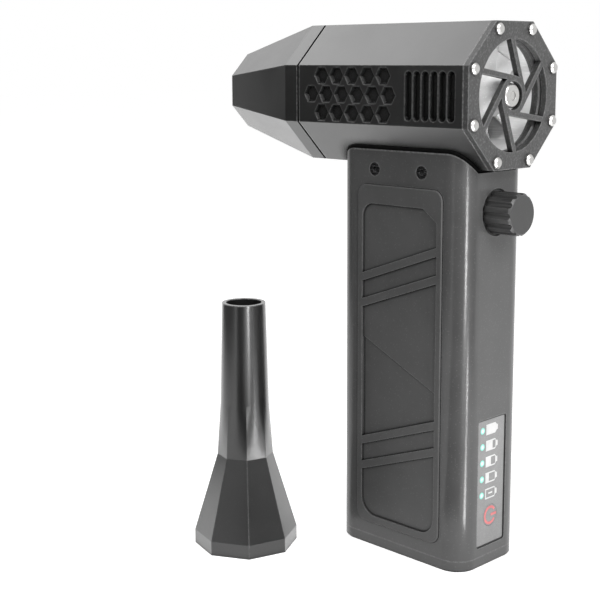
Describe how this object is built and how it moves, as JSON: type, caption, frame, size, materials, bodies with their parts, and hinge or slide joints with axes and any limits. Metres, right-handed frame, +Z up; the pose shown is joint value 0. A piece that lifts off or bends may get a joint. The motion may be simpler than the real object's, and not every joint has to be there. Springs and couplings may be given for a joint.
{
  "type": "car dryer blower",
  "caption": "Cordless hand-held jet blower with an octagonal fan barrel, tapered outlet cone, upright battery handle, speed knob and a spare nozzle beside it.",
  "frame": {"origin": "middle of the handle's flat base, on the table", "axes": "+Z up along the handle; the fan's axis runs along X, 209 mm up, outlet towards -X, inlet and knob towards +X"},
  "size_m": [0.1651, 0.114, 0.24],
  "materials": {
    "housing_plastic": "satin moulded, fine grain",
    "guard_plastic": "fine speckled grain",
    "handle_plastic": "fine grain",
    "panel_plastic": "matt grain",
    "inner_plastic": "plain moulded",
    "nozzle_plastic": "satin moulded",
    "knob_plastic": "soft satin",
    "gasket_rubber": "matt",
    "label_film": "glossy film",
    "lamp_lens": "lit lens",
    "fan_metal": "bright machined",
    "bright_screw": "bright plated",
    "black_screw": "black oxide",
    "steel": "ground",
    "motor_metal": "anodised",
    "copper": "enamelled",
    "circuit_board": "solder mask",
    "lead_sleeve": "silicone",
    "cell_sleeve": "shrink sleeve"
  },
  "bodies": {
    "casing": {"barrel_housing": "housing_plastic", "seam_ring": "gasket_rubber", "front_cone": "housing_plastic", "rear_guard": "guard_plastic", "guard_screws": "bright_screw", "inlet_ring": "guard_plastic", "duct_tube": "fan_metal", "motor_can": "motor_metal", "motor_end_cap": "motor_metal", "shaft_bearings": "steel", "stator_core": "steel", "stator_windings": "copper", "stator_vanes": "inner_plastic", "tail_fairing": "inner_plastic", "motor_leads": "lead_sleeve", "handle_shell": "handle_plastic", "base_cap": "handle_plastic", "base_screws": "bright_screw", "saddle_gasket": "gasket_rubber", "mounting_saddle": "inner_plastic", "saddle_screws": "bright_screw", "handle_screws": "black_screw", "left_grip_panel": "panel_plastic", "right_grip_panel": "panel_plastic", "label_plate": "label_film", "gauge_lamps": "lamp_lens", "gauge_board": "circuit_board", "power_switch": "inner_plastic", "speed_sensor": "inner_plastic", "bushing_nut": "bright_screw", "battery_cells": "cell_sleeve", "cell_links": "copper", "battery_board": "circuit_board", "controller_board": "circuit_board", "lower_cell_holder": "inner_plastic", "upper_cell_holder": "inner_plastic", "battery_leads": "lead_sleeve", "charge_socket": "steel", "charge_board": "circuit_board"},
    "fan_rotor": {"impeller": "fan_metal", "spinner_nut": "bright_screw", "motor_shaft": "steel", "rotor_magnet": "steel"},
    "knob": {"speed_knob": "knob_plastic", "knob_shaft": "steel"},
    "key": {"power_key": "label_film"},
    "nozzle": {"spare_nozzle": "nozzle_plastic"}
  },
  "joints": [
    {"name": "fan_spin", "type": "hinge", "parent": "casing", "child": "fan_rotor", "pos_m": [0.02, 0, 0.209], "axis": [-1, 0, 0], "continuous": true},
    {"name": "knob_turn", "type": "hinge", "parent": "casing", "child": "knob", "pos_m": [0.04, 0, 0.159], "axis": [-1, 0, 0], "range_deg": [0, 280]},
    {"name": "key_press", "type": "slide", "parent": "casing", "child": "key", "axis": [-1, 0, 0], "range_m": [0, 0.0003], "stiffness_N_per_m": 1500},
    {"name": "nozzle_lift", "type": "slide", "parent": "casing", "child": "nozzle", "axis": [0, 0, 1], "range_m": [0, 0.15]}
  ]
}
